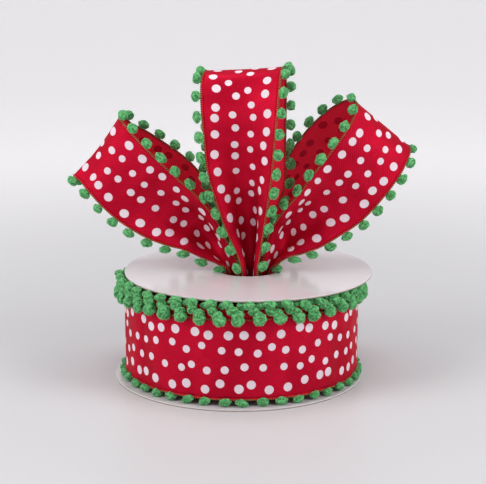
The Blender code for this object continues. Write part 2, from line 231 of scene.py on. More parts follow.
# Loops, as rows from one end in the hub to the other: the middle's place from the top disc's centre, the
# ribbon's sideways direction, bow and gather in degrees, and the share of its width that a row keeps.
# They are the solids' rows, but the centre loop's first five bend further to a V
LOOP_FIELDS = ("x", "y", "z", "across_x", "across_y", "across_z", "bow", "gather", "keep")
LOOPS = {
    "centre": [
        (0.8, -13.4, 26, 1.00, 0.00, 0.00, 50, 96, 0.84),
        (0.8, -13.4, 51, 1.00, 0.00, 0.00, 50, 96, 0.88),
        (0.1, -13.6, 62, 1.00, -0.06, 0.00, 45, 88, 0.97),
        (-1.7, -15.0, 75, 0.98, -0.14, 0.06, 38, 72, 1.00),
        (-3.1, -17.8, 89, 0.98, -0.19, 0.06, 32, 55, 1.00),
        (-4.1, -20.0, 102, 0.98, -0.20, 0.03, 35, 37, 1.00),
        (-4.3, -21.0, 119, 0.98, -0.20, 0.00, 50, 18, 1.00),
        (-4.1, -18.5, 136, 0.98, -0.19, 0.03, 38, 4, 1.00),
        (-3.4, -13.0, 145, 0.98, -0.19, 0.06, 22, 0, 1.00),
        (-2.1, -5.0, 147.5, 0.98, -0.19, 0.07, 8, 0, 1.00),
        (-0.9, 3.5, 145.8, 0.98, -0.19, 0.06, 0, 0, 1.00),
        (-0.3, 9.5, 138, 0.98, -0.19, 0.03, -6, 0, 1.00),
        (-0.2, 11.6, 125, 0.98, -0.19, 0.00, -12, 0, 1.00),
        (-0.3, 11.4, 109, 0.98, -0.18, 0.00, -16, 0, 1.00),
        (-0.3, 9.6, 90, 0.99, -0.12, 0.00, -20, -12, 1.00),
        (-0.2, 6.8, 70, 1.00, -0.05, 0.00, -15, -50, 0.74),
        (0.1, 3.8, 51, 1.00, 0.00, 0.00, 0, -60, 0.42),
        (0.1, 3.8, 26, 1.00, 0.00, 0.00, 0, -60, 0.42),
    ],
    "left": [
        (-7.1, -2.0, 26, 0.76, 0.65, 0.00, 0, 98, 0.46),
        (-7.1, -2.0, 51, 0.76, 0.65, 0.00, 0, 98, 0.46),
        (-11.5, -2.8, 56.8, 0.70, 0.30, 0.55, 0, 92, 0.60),
        (-18.1, -3.8, 63, 0.48, -0.05, 0.88, 0, 85, 0.85),
        (-25.3, -5.4, 70, 0.44, -0.18, 0.88, 10, 66, 0.97),
        (-34.7, -6.4, 76.6, 0.48, -0.21, 0.85, 25, 38, 1.00),
        (-44.1, -6.8, 82.9, 0.53, -0.24, 0.81, 35, 14, 1.00),
        (-53.8, -6.8, 90.8, 0.57, -0.23, 0.78, 28, 0, 1.00),
        (-62.5, -6.0, 99.6, 0.58, -0.24, 0.78, 16, 0, 1.00),
        (-68.8, -3.0, 106.3, 0.58, -0.25, 0.78, 6, 0, 1.00),
        (-71.7, 3.0, 109.3, 0.58, -0.25, 0.77, 0, 0, 1.00),
        (-69.0, 9.0, 107.0, 0.57, -0.25, 0.78, 0, 0, 1.00),
        (-61.0, 13.6, 102.2, 0.56, -0.24, 0.79, -8, 0, 1.00),
        (-50.5, 17.2, 94.8, 0.56, -0.24, 0.79, -20, 0, 1.00),
        (-39.5, 20.2, 86.2, 0.56, -0.20, 0.80, -30, -15, 1.00),
        (-27.5, 21.0, 75.5, 0.60, -0.10, 0.78, -20, -50, 0.95),
        (-14.0, 16.6, 63.0, 0.80, 0.15, 0.55, 0, -66, 0.72),
        (-6.2, 9.8, 53, 0.85, 0.53, 0.00, -20, -30, 0.36),
        (-6.2, 9.8, 26, 0.85, 0.53, 0.00, -20, -30, 0.36),
    ],
    "right": [
        (8.5, -3.0, 26, 0.70, -0.71, 0.00, 0, 100, 0.44),
        (8.5, -3.0, 51, 0.70, -0.71, 0.00, 0, 100, 0.44),
        (11.3, -4.1, 56.6, 0.55, -0.45, -0.65, 0, 95, 0.60),
        (15.5, -5.8, 63, 0.36, -0.05, -0.92, 0, 88, 0.82),
        (21.0, -7.2, 67.9, 0.44, 0.15, -0.89, 5, 72, 0.94),
        (27.7, -8.2, 73.2, 0.55, 0.24, -0.80, 15, 55, 1.00),
        (34.5, -8.4, 78.9, 0.61, 0.30, -0.73, 30, 36, 1.00),
        (42.3, -8.4, 86.3, 0.63, 0.32, -0.70, 35, 10, 1.00),
        (49.1, -8.4, 94.3, 0.66, 0.33, -0.67, 20, 0, 1.00),
        (56.0, -7.8, 103.2, 0.69, 0.33, -0.65, 10, 0, 1.00),
        (62.0, -5.0, 112.4, 0.70, 0.33, -0.63, 4, 0, 1.00),
        (64.9, 1.5, 119.4, 0.72, 0.34, -0.61, 0, 0, 1.00),
        (62.1, 8.0, 120.6, 0.71, 0.34, -0.62, 0, 0, 1.00),
        (54.8, 13.3, 116.8, 0.66, 0.33, -0.66, -6, 0, 1.00),
        (46.0, 18.0, 108.8, 0.63, 0.33, -0.70, -16, 0, 1.00),
        (37.7, 21.3, 98.6, 0.62, 0.32, -0.71, -28, -10, 1.00),
        (29.0, 23.2, 85.5, 0.64, 0.22, -0.73, -25, -40, 1.00),
        (17.0, 20.0, 67.0, 0.80, -0.04, -0.60, 0, -72, 0.80),
        (6.9, 8.8, 53, 0.79, -0.62, 0.00, -20, -30, 0.35),
        (6.9, 8.8, 26, 0.79, -0.62, 0.00, -20, -30, 0.35),
    ],
}

# Creases of each loop: middle along and across in millimetres, slant in degrees, length, width and height
CREASES = {
    "centre": [
        (100, 6, 24, 16, 4.0, 0.25),
    ],
    "left": [
        (58, -7, 6, 22, 2.6, -0.45),
        (84, 4, -10, 22, 3.4, 0.3),
    ],
    "right": [
        (58, 7, -6, 22, 2.6, -0.45),
        (84, -4, 10, 22, 3.4, 0.3),
    ],
}

# Rows of pompoms on the roll: shift round it, radius, height, half length, half depth, half height
# and whether the row spills over the top disc's rim where that lies inside the roll
ROLL_ROWS = {
    "pompoms_roll_top_inner": [
        (-1.6, 54.3, 47.1, 2.4, 2.0, 1.6, False),
        (1.5, 57.0, 47.0, 2.75, 2.35, 1.8, True),
    ],
    "pompoms_roll_top_middle": [
        (2.9, 57.5, 45.7, 2.45, 2.2, 2.0, False),
        (5.5, 58.4, 44.1, 2.6, 2.2, 2.1, False),
    ],
    "pompoms_roll_top_outer": [(6.0, 59.1, 41.8, 3.0, 2.4, 2.65, False)],
    "pompoms_roll_bottom": [(7.8, 57.2, 2.85, 2.75, 2.05, 1.75, False)],
}
SPILL_HEIGHT = 48.5
SPILL_RADIUS = 59.4
RIM_GAP = 0.1

# Stage: a round paper bowl, so that every side has the same backdrop
STAGE_MIDDLE = 0.001
STAGE_FLAT = 1.0
STAGE_BEND = 0.5
STAGE_HEIGHT = 0.65
BEND_STEPS = 12
STAGE_SEGMENTS = 96
# Painted light: the far paper glows, brighter than the lamps make it
BACKDROP_GLOW = 0.33

# Camera: the photograph's viewpoint, in front of the roll's axis
CAMERA_PLACE = (0.0002, -0.6598, 0.211)
CAMERA_DOWN = 0.219
FOCAL_PIXELS = 1400.0
PICTURE_WIDTH = 486.0
SENSOR = 36.0

# Lights: name, place, size in metres, power in watts
AIM = (0.0, 0.0, 0.08)
LIGHTS = [
    ("key_left", (-0.50, -0.27, 0.43), 0.36, 2.05),
    ("fill_right", (0.50, -0.26, 0.42), 0.36, 1.9),
    ("top", (0.0, 0.05, 0.85), 0.60, 2.7),
]
SKY = (0.93, 0.94, 1.0, 1.0)
SKY_STRENGTH = 0.27


def unit(vectors):
    return vectors / np.linalg.norm(vectors, axis=-1, keepdims=True)


def travel(points):
    """How far along a line each of its points is."""
    steps = np.linalg.norm(np.diff(points, axis=0), axis=1)
    return np.concatenate([[0.0], np.cumsum(steps)])


def read_along(places, travelled, vectors):
    """Vectors of a line's points, read at one or more distances along it."""
    return np.stack([np.interp(places, travelled, vectors[:, i]) for i in range(3)], axis=-1)


class Wiring:
    """Short calls that add and join a node tree's nodes. A colour is a socket or three numbers."""

    def __init__(self, tree):
        self.tree = tree

    def node(self, kind, **settings):
        made = self.tree.nodes.new(kind)
        for name, value in settings.items():
            setattr(made, name, value)
        return made

    def put(self, socket, value):
        if isinstance(value, bpy.types.NodeSocket):
            self.tree.links.new(value, socket)
        elif isinstance(value, tuple):
            socket.default_value = (*value, 1.0)
        else:
            socket.default_value = value

    def math(self, operation, *values):
        made = self.node("ShaderNodeMath", operation=operation)
        for socket, value in zip(made.inputs, values):
            self.put(socket, value)
        return made.outputs[0]

    def wave(self, place, pitch):
        return self.math("SINE", self.math("MULTIPLY", place, math.tau / pitch))

    def combine(self, x, y, z=0.0):
        made = self.node("ShaderNodeCombineXYZ")
        for socket, value in zip(made.inputs, (x, y, z)):
            self.put(socket, value)
        return made.outputs[0]

    def spread(self, value, low, high, out_low=0.0, out_high=1.0):
        made = self.node("ShaderNodeMapRange", interpolation_type="SMOOTHSTEP")
        for socket, given in zip(made.inputs, (value, low, high, out_low, out_high)):
            self.put(socket, given)
        return made.outputs[0]

    def mix(self, share, first, second):
        made = self.node("ShaderNodeMix", data_type="RGBA")
        self.put(made.inputs["Factor"], share)
        self.put(made.inputs[6], first)
        self.put(made.inputs[7], second)
        return made.outputs[2]

    def layer(self, under, value, ramp, over):
        return self.mix(self.spread(value, *ramp), under, over)

    def object_place(self):
        return self.node("ShaderNodeTexCoord").outputs["Object"]

    def noise(self, vector, scale, detail=2.0, roughness=0.5):
        made = self.node("ShaderNodeTexNoise")
        self.put(made.inputs["Vector"], vector)
        self.put(made.inputs["Scale"], scale)
        self.put(made.inputs["Detail"], detail)
        self.put(made.inputs["Roughness"], roughness)
        return made.outputs["Fac"]

    def bump(self, height, strength, distance, normal=None):
        made = self.node("ShaderNodeBump")
        if normal:
            self.put(made.inputs["Normal"], normal)
        made.inputs["Strength"].default_value = strength
        made.inputs["Distance"].default_value = distance
        self.put(made.inputs["Height"], height)
        return made.outputs["Normal"]


def new_material(name):
    """A material with an empty Principled shader, and the wiring of its tree."""
    material = bpy.data.materials.new(name)
    material.use_nodes = True
    wiring = Wiring(material.node_tree)
    return material, wiring, material.node_tree.nodes["Principled BSDF"]


def cloth_places(wiring):
    """Millimetres along and across the ribbon, from its UV map."""
    uv = wiring.node("ShaderNodeUVMap", uv_map="cloth")
    split = wiring.node("ShaderNodeSeparateXYZ")
    wiring.put(split.inputs[0], uv.outputs[0])
    along = wiring.math("MULTIPLY", split.outputs["X"], UV_UNIT)
    across = wiring.math("MULTIPLY", split.outputs["Y"], UV_UNIT)
    return along, across


def dots_group():
    """Round dots scattered one to a cell, in staggered columns that stay clear of the edges."""
    group = bpy.data.node_groups.new("scattered dots", "ShaderNodeTree")
    group.interface.new_socket("Along", in_out="INPUT", socket_type="NodeSocketFloat")
    group.interface.new_socket("Across", in_out="INPUT", socket_type="NodeSocketFloat")
    group.interface.new_socket("Mask", in_out="OUTPUT", socket_type="NodeSocketFloat")
    wiring = Wiring(group)
    given = wiring.node("NodeGroupInput")
    result = wiring.node("NodeGroupOutput")
    along = given.outputs["Along"]
    band = RIBBON_WIDTH - 2 * DOT_MARGIN
    width = band / DOT_COLUMNS
    from_edge = wiring.math("ADD", given.outputs["Across"], band / 2)
    column = wiring.math("FLOOR", wiring.math("DIVIDE", from_edge, width))
    column = wiring.math("MINIMUM", wiring.math("MAXIMUM", column, 0.0), DOT_COLUMNS - 1.0)
    odd = wiring.math("MODULO", column, 2.0)
    shifted = wiring.math("MULTIPLY_ADD", odd, DOT_PITCH / 2, along)
    row = wiring.math("FLOOR", wiring.math("DIVIDE", shifted, DOT_PITCH))
    white = wiring.node("ShaderNodeTexWhiteNoise", noise_dimensions="3D")
    wiring.put(white.inputs["Vector"], wiring.combine(column, row, DOT_SEED))
    parts = wiring.node("ShaderNodeSeparateColor")
    wiring.put(parts.inputs[0], white.outputs["Color"])
    squares = []
    for place, cell, pitch, chance, reach in (
        (shifted, row, DOT_PITCH, parts.outputs[0], DOT_JITTER[0]),
        (from_edge, column, width, parts.outputs[1], DOT_JITTER[1]),
    ):
        middle = wiring.math("MULTIPLY", wiring.math("ADD", cell, 0.5), pitch)
        jitter = wiring.math("MULTIPLY_ADD", chance, 2 * reach, -reach)
        away = wiring.math("SUBTRACT", wiring.math("SUBTRACT", place, middle), jitter)
        squares.append(wiring.math("MULTIPLY", away, away))
    distance = wiring.math("SQRT", wiring.math("ADD", *squares))
    outer = wiring.math("ABSOLUTE", wiring.math("SUBTRACT", column, (DOT_COLUMNS - 1) / 2))
    extra = wiring.math("MULTIPLY", wiring.math("SUBTRACT", outer, 0.5), DOT_EDGE_EXTRA)
    smallest, largest = DOT_RADIUS
    radius = wiring.math("MULTIPLY_ADD", parts.outputs[2], largest - smallest, smallest)
    inside = wiring.math("SUBTRACT", wiring.math("ADD", radius, extra), distance)
    wiring.put(result.inputs["Mask"], wiring.spread(inside, -DOT_BLUR, DOT_BLUR))
    return group


def dots_mask(wiring, group, along, across):
    made = wiring.node("ShaderNodeGroup", node_tree=group)
    wiring.put(made.inputs["Along"], along)
    wiring.put(made.inputs["Across"], across)
    return made.outputs["Mask"]


def weave_height(wiring, along, across, pitch):
    """Height of a twill's slanted ribs, broken up by the threads that cross them."""
    cross_pitch, cross_height = CROSS_THREADS
    lengthwise = wiring.math("MULTIPLY", along, TWILL_SLANT[1])
    rib = wiring.wave(wiring.math("MULTIPLY_ADD", across, TWILL_SLANT[0], lengthwise), pitch)
    cross = wiring.wave(along, pitch * cross_pitch)
    return wiring.math("MULTIPLY_ADD", cross, cross_height, rib)


def woven_edge(wiring, cloth, along, across, reds):
    """The cloth's colour with its ribbed edge, and how far in from the edge each place is."""
    inward = wiring.math("SUBTRACT", RIBBON_WIDTH / 2, wiring.math("ABSOLUTE", across))
    ribs = wiring.wave(along, EDGE_RIB_PITCH)
    edge = wiring.mix(wiring.spread(ribs, *EDGE_RIB_RAMP), *reds)
    return wiring.layer(cloth, inward, WOVEN_EDGE_RAMP, edge), inward


def stitched_line(wiring, cloth, along, inward):
    """The cloth's colour with the broken dark line in the groove beside its woven edge."""
    near = wiring.math("ABSOLUTE", wiring.math("SUBTRACT", inward, GROOVE_INWARD))
    beat = wiring.spread(wiring.wave(along, LINE_PITCH), *LINE_BEAT_RAMP)
    stitches = wiring.math("MULTIPLY", wiring.spread(near, *LINE_RAMP), beat)
    return wiring.mix(stitches, cloth, STITCHED_LINE)


def satin_material(dots):
    """Printed face: lustrous red weave, matt white dots, a stitched line, a brighter woven edge, and painted
    shade in broad bands along the ribbon where its sheen would dim.
    """
    material, wiring, shader = new_material("red satin face")
    along, across = cloth_places(wiring)
    mask = dots_mask(wiring, dots, along, across)
    mottle = wiring.noise(wiring.combine(along, across), *FACE_MOTTLE)
    stretched = [
        wiring.math("MULTIPLY", place, stretch) for place, stretch in zip((along, across), THREAD_STRETCH)
    ]
    threads = wiring.noise(wiring.combine(*stretched), *THREAD_NOISE)
    weave = weave_height(wiring, along, across, FACE_TWILL)
    slack_and_shade_bands = wiring.noise(
        wiring.combine(along, wiring.math("MULTIPLY", across, SLACK_AND_SHADE_STRETCH)), *SLACK_AND_SHADE_NOISE
    )
    red = wiring.mix(mottle, *SATIN_REDS)
    red = wiring.layer(red, threads, *SATIN_THREADS)
    red = wiring.layer(red, weave, *SATIN_FURROWS)
    # painted shade: the red darkens in bands where this noise is low, standing in for the satin's uneven
    # sheen
    red = wiring.layer(red, slack_and_shade_bands, *SATIN_PAINTED_SHADE_BANDS)
    face = wiring.mix(mask, red, wiring.mix(mottle, *DOT_WHITES))
    face, inward = woven_edge(wiring, face, along, across, SATIN_EDGE_REDS)
    face = stitched_line(wiring, face, along, inward)
    wiring.put(shader.inputs["Base Color"], face)
    wiring.put(shader.inputs["Roughness"], wiring.spread(mask, *SATIN_ROUGHNESS_RAMP))
    wiring.put(shader.inputs["Metallic"], wiring.spread(mask, *SATIN_LUSTRE_RAMP))
    rolling = wiring.bump(slack_and_shade_bands, *SLACK_BUMP)
    wiring.put(shader.inputs["Normal"], wiring.bump(weave, *FACE_BUMP, rolling))
    shader.inputs["Specular IOR Level"].default_value = 0.15
    shader.inputs["Specular Tint"].default_value = (0.9, 0.10, 0.20, 1.0)
    return material


def wrong_side_material(dots):
    """Unprinted back: duller twill, where the print shows through as darker dots."""
    material, wiring, shader = new_material("red satin back")
    along, across = cloth_places(wiring)
    mask = dots_mask(wiring, dots, along, across)
    mottle = wiring.noise(wiring.combine(along, across), *BACK_MOTTLE)
    weave = weave_height(wiring, along, across, BACK_TWILL)
    red = wiring.mix(mottle, *BACK_REDS)
    red = wiring.layer(red, weave, *BACK_FURROWS)
    red = wiring.mix(wiring.math("MULTIPLY", mask, BACK_DOTS_SHARE), red, BACK_DOTS)
    red, _ = woven_edge(wiring, red, along, across, BACK_EDGE_REDS)
    wiring.put(shader.inputs["Base Color"], red)
    wiring.put(shader.inputs["Normal"], wiring.bump(weave, *BACK_BUMP))
    shader.inputs["Roughness"].default_value = 0.62
    shader.inputs["Specular IOR Level"].default_value = 0.25
    shader.inputs["Specular Tint"].default_value = (1.0, 0.2, 0.3, 1.0)
    return material


def chenille_material():
    """Cut pile, with painted light at the tips of the tufts and painted shade down between them."""
    material, wiring, shader = new_material("green chenille")
    pile_painted_shade = wiring.node("ShaderNodeAttribute", attribute_name="pile_painted_shade").outputs["Fac"]
    place = wiring.object_place()
    fibre = wiring.noise(place, *PILE_NOISE)
    patch = wiring.noise(place, *PILE_PATCHES)
    # painted shade: dark green where the painted value is low, down between the tufts; painted light, paler,
    # at their tips
    green = wiring.mix(wiring.spread(pile_painted_shade, *PILE_RAMP), *CHENILLE_SHADED_AND_LIT_GREENS)
    green = wiring.layer(green, fibre, *CHENILLE_TIPS)
    green = wiring.layer(green, patch, *CHENILLE_PATCHES)
    wiring.put(shader.inputs["Base Color"], green)
    wiring.put(shader.inputs["Normal"], wiring.bump(fibre, *PILE_BUMP))
    shader.inputs["Roughness"].default_value = 0.95
    shader.inputs["Specular IOR Level"].default_value = 0.15
    shader.inputs["Sheen Weight"].default_value = 0.35
    shader.inputs["Sheen Roughness"].default_value = 0.5
    shader.inputs["Sheen Tint"].default_value = (0.55, 1.0, 0.60, 1.0)
    return material


def thread_material():
    """Edge stitches, green with paler olive ones between."""
    material, wiring, shader = new_material("edge thread")
    place = wiring.object_place()
    patch = wiring.noise(place, *THREAD_PATCHES)
    fibre = wiring.noise(place, *THREAD_FIBRES)
    green = wiring.mix(fibre, *THREAD_GREENS)
    wiring.put(shader.inputs["Base Color"], wiring.layer(green, patch, *THREAD_OLIVE))
    wiring.put(shader.inputs["Normal"], wiring.bump(fibre, *THREAD_BUMP))
    shader.inputs["Roughness"].default_value = 0.8
    return material


def card_material():
    """Coated face of the card, with faint mottling and scuffs."""
    material, wiring, shader = new_material("coated card")
    place = wiring.object_place()
    mottle = wiring.noise(place, *CARD_MOTTLE)
    grain = wiring.noise(place, *CARD_GRAIN)
    wiring.put(shader.inputs["Base Color"], wiring.mix(mottle, *CARD_WHITES))
    wiring.put(shader.inputs["Roughness"], wiring.spread(mottle, *CARD_ROUGHNESS_RAMP))
    wiring.put(shader.inputs["Normal"], wiring.bump(grain, *CARD_BUMP))
    shader.inputs["Specular IOR Level"].default_value = 0.9
    return material


def kraft_material(name, seam_pitch=None):
    """Bare card, with fibres; a seam winds up it where seam_pitch is given, in millimetres."""
    material, wiring, shader = new_material(name)
    fibre = wiring.noise(wiring.object_place(), *KRAFT_FIBRES)
    bare = wiring.mix(fibre, *KRAFT_BROWNS)
    if seam_pitch:
        along, across = cloth_places(wiring)
        wound = wiring.math("ADD", along, wiring.math("DIVIDE", across, seam_pitch))
        bare = wiring.layer(bare, wiring.math("FRACT", wound), *TUBE_SEAM)
    wiring.put(shader.inputs["Base Color"], bare)
    wiring.put(shader.inputs["Normal"], wiring.bump(fibre, *KRAFT_BUMP))
    shader.inputs["Roughness"].default_value = 0.9
    return material


def stage_material():
    """Studio paper in two tones of one paper: a little greyer under the object, as painted shade, than where
    it turns up behind it, where it is painted paler and glows as painted light.
    """
    material, wiring, shader = new_material("studio paper")
    place = wiring.object_place()
    split = wiring.node("ShaderNodeSeparateXYZ")
    wiring.put(split.inputs[0], place)
    length = wiring.node("ShaderNodeVectorMath", operation="LENGTH")
    wiring.put(length.inputs[0], wiring.combine(split.outputs["X"], split.outputs["Y"]))
    far = wiring.spread(length.outputs["Value"], *FAR_PAPER_RAMP)
    mottle = wiring.noise(place, *PAPER_MOTTLE)
    near_paper = wiring.mix(mottle, *NEAR_PAPER)
    far_paper = wiring.mix(mottle, *FAR_PAPER)
    # painted shade on the floor near the object, and painted light with a glow on the backdrop
    wiring.put(shader.inputs["Base Color"], wiring.mix(far, near_paper, far_paper))
    wiring.put(shader.inputs["Emission Color"], far_paper)
    wiring.put(shader.inputs["Emission Strength"], wiring.math("MULTIPLY", far, BACKDROP_GLOW))
    shader.inputs["Roughness"].default_value = 0.4
    shader.inputs["Specular IOR Level"].default_value = 0.35
    return material


def loft_faces(count, size, closed):
    """Faces between rings of points; closed joins the last ring to the first."""
    faces = []
    for i in range(count if closed else count - 1):
        for j in range(size):
            here = i * size
            there = (i + 1) % count * size
            turn = (j + 1) % size
            faces.append((here + j, here + turn, there + turn, there + j))
    return faces


def add_piece(name, points, faces, materials, slots=None, smooth_angle=SMOOTH_ANGLE):
    """A mesh from points in millimetres, riding on the part's one body."""
    mesh = bpy.data.meshes.new(name)
    mesh.from_pydata((np.asarray(points, float) * MM).tolist(), [], faces)
    for material in materials:
        mesh.materials.append(material)
    if slots is not None:
        mesh.polygons.foreach_set("material_index", np.asarray(slots, np.int32))
    work = bmesh.new()
    work.from_mesh(mesh)
    bmesh.ops.recalc_face_normals(work, faces=work.faces)
    work.to_mesh(mesh)
    work.free()
    mesh.shade_smooth()
    if smooth_angle:
        mesh.set_sharp_from_angle(angle=math.radians(smooth_angle))
    piece = bpy.data.objects.new(name, mesh)
    bpy.context.scene.collection.objects.link(piece)
    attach(piece, "root")
    return piece


def map_cloth(piece, along, across):
    """Gives each vertex its place along and across the cloth, in UV_UNIT, as a UV map."""
    mesh = piece.data
    corners = np.empty(len(mesh.loops), np.int32)
    mesh.loops.foreach_get("vertex_index", corners)
    places = np.stack([np.asarray(along)[corners], np.asarray(across)[corners]], axis=1) / UV_UNIT
    layer = mesh.uv_layers.new(name="cloth")
    layer.data.foreach_set("uv", places.astype(np.float32).ravel())


def ribbon_columns():
    """Shares of the width from the ribbon's middle, close together at the woven edges."""
    left = np.array(EDGE_STEPS) / RIBBON_WIDTH - 0.5
    middle = np.linspace(left[-1], -left[-1], INNER_COLUMNS + 2)[1:-1]
    return np.concatenate([left, middle, -left[::-1]])


def edge_relief(columns):
    """Height of the woven edge's bead and of the stitched groove beside it."""
    inward = (0.5 - np.abs(columns)) * RIBBON_WIDTH
    bead = BEAD_HEIGHT * np.exp(-(((inward - BEAD_INWARD) / BEAD_SPREAD) ** 2))
    groove = GROOVE_DEPTH * np.exp(-(((inward - GROOVE_INWARD) / GROOVE_SPREAD) ** 2))
    return bead - groove


def ribbon_piece(name, points, normals, columns, along, materials):
    """A thin closed sheet about the given middle surface, with its printed side along the normals."""
    relief = edge_relief(columns)[:, None]
    half = RIBBON_SHEET / 2
    rings = []
    for row, normal in zip(points, normals):
        front = row + normal * (half + relief)
        back = row - normal * (half + relief)
        rings.append(np.concatenate([front, back[::-1]]))
    count = len(rings)
    size = len(rings[0])
    wide = size // 2
    faces = loft_faces(count, size, False)
    side = [1 if wide <= j < size - 1 else 0 for j in range(size)]
    slots = side * (count - 1)
    for end in (0, count - 1):
        base = end * size
        for j in range(wide - 1):
            faces.append((base + j, base + j + 1, base + size - 2 - j, base + size - 1 - j))
            slots.append(0)
    piece = add_piece(name, np.concatenate(rings), faces, materials, slots)
    across = np.concatenate([columns, columns[::-1]]) * RIBBON_WIDTH
    map_cloth(piece, np.repeat(along, size), np.tile(across, count))
    return piece


def read_rows(table, count):
    """The table's fields, read evenly along a smooth curve through its rows."""
    rows = np.array(table, float)
    steps = np.sqrt(np.linalg.norm(np.diff(rows[:, :3], axis=0), axis=1))
    knots = np.concatenate([[0.0], np.cumsum(steps)])
    before = np.diff(rows, axis=0)[:-1] / steps[:-1, None]
    after = np.diff(rows, axis=0)[1:] / steps[1:, None]
    slopes = np.empty_like(rows)
    slopes[1:-1] = (before * steps[1:, None] + after * steps[:-1, None]) / (steps[:-1] + steps[1:])[:, None]
    slopes[0] = (rows[1] - rows[0]) / steps[0]
    slopes[-1] = (rows[-1] - rows[-2]) / steps[-1]

    def at(place):
        i = np.clip(np.searchsorted(knots, place, side="right") - 1, 0, len(steps) - 1)
        gap = steps[i][:, None]
        u = ((place - knots[i]) / steps[i])[:, None]
        return (
            (2 * u**3 - 3 * u**2 + 1) * rows[i]
            + (u**3 - 2 * u**2 + u) * gap * slopes[i]
            + (3 * u**2 - 2 * u**3) * rows[i + 1]
            + (u**3 - u**2) * gap * slopes[i + 1]
        )

    places = np.linspace(0.0, knots[-1], PATH_STEPS)
    travelled = travel(at(places)[:, :3])
    even = np.linspace(0.0, travelled[-1], count)
    read = at(np.interp(even, travelled, places))
    return {name: read[:, i] for i, name in enumerate(LOOP_FIELDS)}, even


def section_curve(bow, gather, width, picks):
    """Points across the ribbon, as distances along the line of its edges and behind it, and their slopes.

    A bow bends the section as one arc. A gather folds it into a trough whose lips stay level.
    """
    def slope(share):
        return -bow * share - gather * np.sin(math.tau * share)

    u = np.linspace(-0.5, 0.5, SECTION_STEPS + 1)
    slopes = slope((u[1:] + u[:-1]) / 2)
    side, depth = (
        np.concatenate([[0.0], np.cumsum(steps)]) * width / SECTION_STEPS
        for steps in (np.cos(slopes), np.sin(slopes))
    )
    side -= side[-1] / 2
    return np.interp(picks, u, side), np.interp(picks, u, depth), slope(picks)


def crease_height(along, across, creases):
    """Soft ridges and troughs, at each place along and across."""
    height = np.zeros((len(along), len(across)))
    for middle_along, middle_across, slant, length, width, rise in creases:
        a = along[:, None] - middle_along
        c = across[None, :] - middle_across
        turn = math.radians(slant)
        lengthwise = a * math.cos(turn) + c * math.sin(turn)
        crosswise = c * math.cos(turn) - a * math.sin(turn)
        height += rise * np.exp(-((lengthwise / length) ** 2) - (crosswise / width) ** 2)
    return height


def ribbon_sections(table, creases, columns):
    """A loop's middle surface: points, outward normals, sideways directions, and each row's distance."""
    rows, travelled = read_rows(table, LOOP_STEPS + 1)
    middle = np.stack([rows["x"] + TOP_CENTRE[0], rows["y"] + TOP_CENTRE[1], rows["z"]], axis=1)
    ahead = unit(np.gradient(middle, axis=0))
    sideways = np.stack([rows["across_x"], rows["across_y"], rows["across_z"]], axis=1)
    sideways = unit(sideways - (sideways * ahead).sum(1)[:, None] * ahead)
    outward = np.cross(sideways, ahead)
    heights = crease_height(travelled, columns * RIBBON_WIDTH, creases)
    points = []
    normals = []
    tangents = []
    for i in range(LOOP_STEPS + 1):
        side, depth, slopes = section_curve(
            math.radians(rows["bow"][i]),
            math.radians(rows["gather"][i]),
            RIBBON_WIDTH * rows["keep"][i],
            columns,
        )
        cosine = np.cos(slopes)[:, None]
        sine = np.sin(slopes)[:, None]
        normal = cosine * outward[i] + sine * sideways[i]
        flat = middle[i] + side[:, None] * sideways[i] - depth[:, None] * outward[i]
        points.append(flat + normal * heights[i][:, None])
        normals.append(normal)
        tangents.append(cosine * sideways[i] - sine * outward[i])
    return np.array(points), np.array(normals), np.array(tangents), travelled


def pompom_shape(seed):
    """One pompom of radius 1: points, triangles and each point's painted light and shade, lighter the
    further out in the pile it stands.
    """
    work = bmesh.new()
    bmesh.ops.create_icosphere(work, subdivisions=POMPOM_DETAIL, radius=1.0)
    chance = np.random.default_rng(seed)
    start = Vector(chance.uniform(-50, 50, 3))
    points = []
    pile_painted_shade = []
    for vertex in work.verts:
        way = vertex.co.normalized()
        radius = 1.0
        # brightness is painted light on the tops of the lumps and painted shade in their hollows
        brightness = PILE_MIDDLE
        for scale, shift, height, glow in PILE_LAYERS:
            lump = noise.noise(way * scale + start * shift)
            radius += height * lump
            brightness += glow * lump
        points.append(way * radius)
        pile_painted_shade.append(brightness)
    faces = np.array([[vertex.index for vertex in face.verts] for face in work.faces])
    work.free()
    points = np.array(points)
    feet = points[chance.integers(0, len(points), POMPOM_FIBRES)]
    ways = unit(unit(feet) + chance.normal(0.0, FIBRE_SCATTER, feet.shape))
    asides = unit(np.cross(ways, chance.normal(0.0, 1.0, feet.shape))) * FIBRE_HALF_WIDTH
    tips = feet * FIBRE_START + ways * chance.uniform(*FIBRE_LENGTH, (POMPOM_FIBRES, 1))
    first = len(points) + 3 * np.arange(POMPOM_FIBRES)[:, None]
    fibres = np.stack([feet * FIBRE_FOOT - asides, feet * FIBRE_FOOT + asides, tips], axis=1)
    points = np.concatenate([points, fibres.reshape(-1, 3)])
    faces = np.concatenate([faces, first + np.arange(3)])
    pile_painted_shade = np.concatenate([pile_painted_shade, np.tile(FIBRE_PILE, POMPOM_FIBRES)])
    return points, faces, pile_painted_shade


